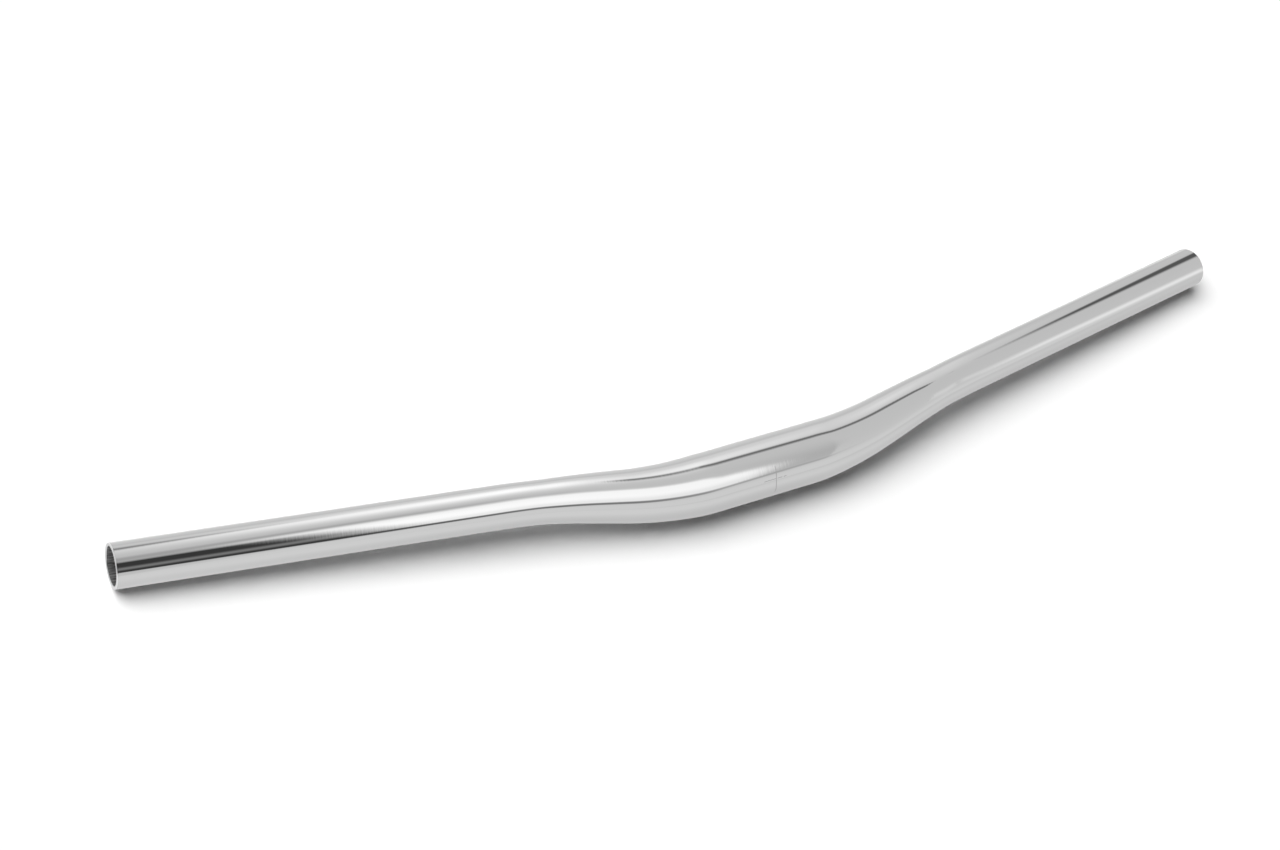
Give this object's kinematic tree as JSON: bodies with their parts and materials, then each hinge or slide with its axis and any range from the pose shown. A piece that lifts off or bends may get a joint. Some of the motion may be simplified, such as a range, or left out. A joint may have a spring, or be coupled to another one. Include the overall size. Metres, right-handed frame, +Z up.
{
  "type": "bicycle handlebar",
  "caption": "Low-rise bicycle handlebar: one bent, tapered aluminium tube with a thick straight middle for the stem and swept-back straight ends for grips and levers.",
  "frame": {"origin": "middle of the stem clamp length, on the axis of the tube", "axes": "+X along the clamp to the rider's left, +Y back towards the rider, +Z up, with the bar lying on a table on the middle of its clamp length and on both tips"},
  "size_m": [0.6798, 0.0748, 0.0318],
  "materials": {
    "polished_aluminium": "polished"
  },
  "bodies": {
    "root": {"handlebar": "polished_aluminium"}
  },
  "joints": []
}
